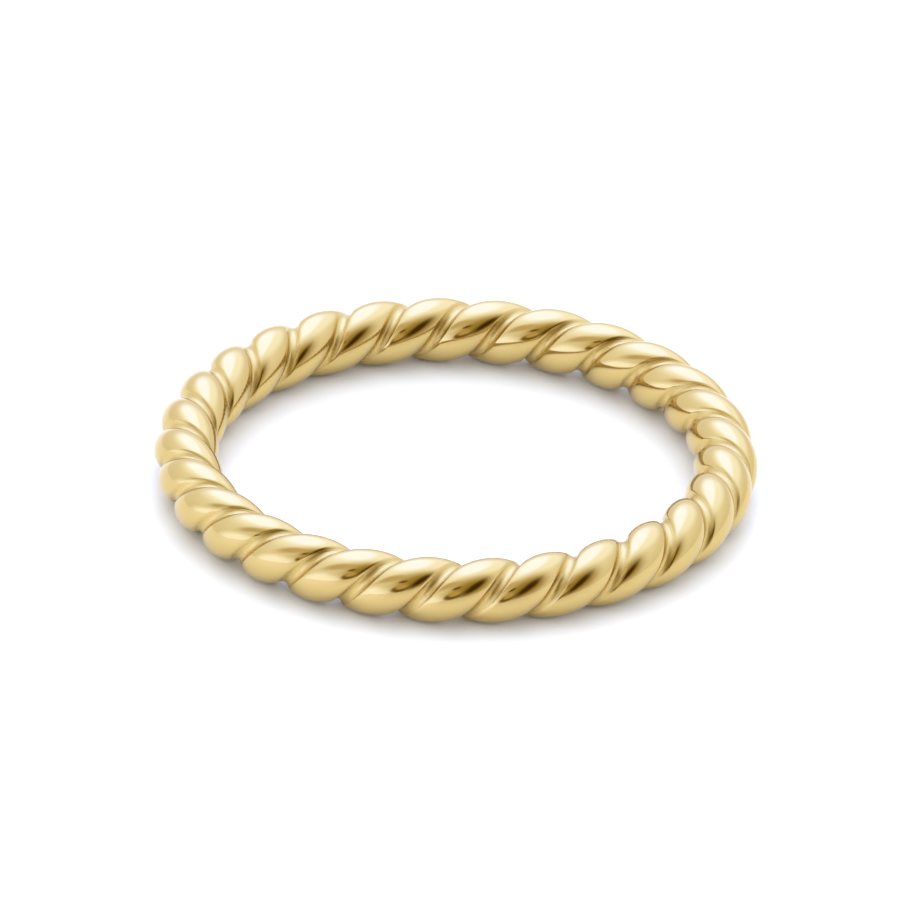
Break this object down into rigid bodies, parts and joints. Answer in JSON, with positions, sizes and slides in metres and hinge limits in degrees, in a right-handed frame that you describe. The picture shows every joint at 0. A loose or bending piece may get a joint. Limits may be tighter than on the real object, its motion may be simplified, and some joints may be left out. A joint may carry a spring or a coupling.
{
  "type": "rope twist ring",
  "caption": "Plain finger ring made as a closed rope: two round-topped gold wires twisted together and joined in their grooves.",
  "frame": {"origin": "middle of the ring, on the plane that the lower crests of the twist touch as it lies on its side", "axes": "+Z along the ring's axis, upwards as it lies; +X through a crest that points outwards, so +Y and the opposite sides meet crests too"},
  "size_m": [0.021, 0.021, 0.0022],
  "materials": {
    "yellow_gold": "high polish"
  },
  "bodies": {
    "root": {"rope_band": "yellow_gold"}
  },
  "joints": []
}
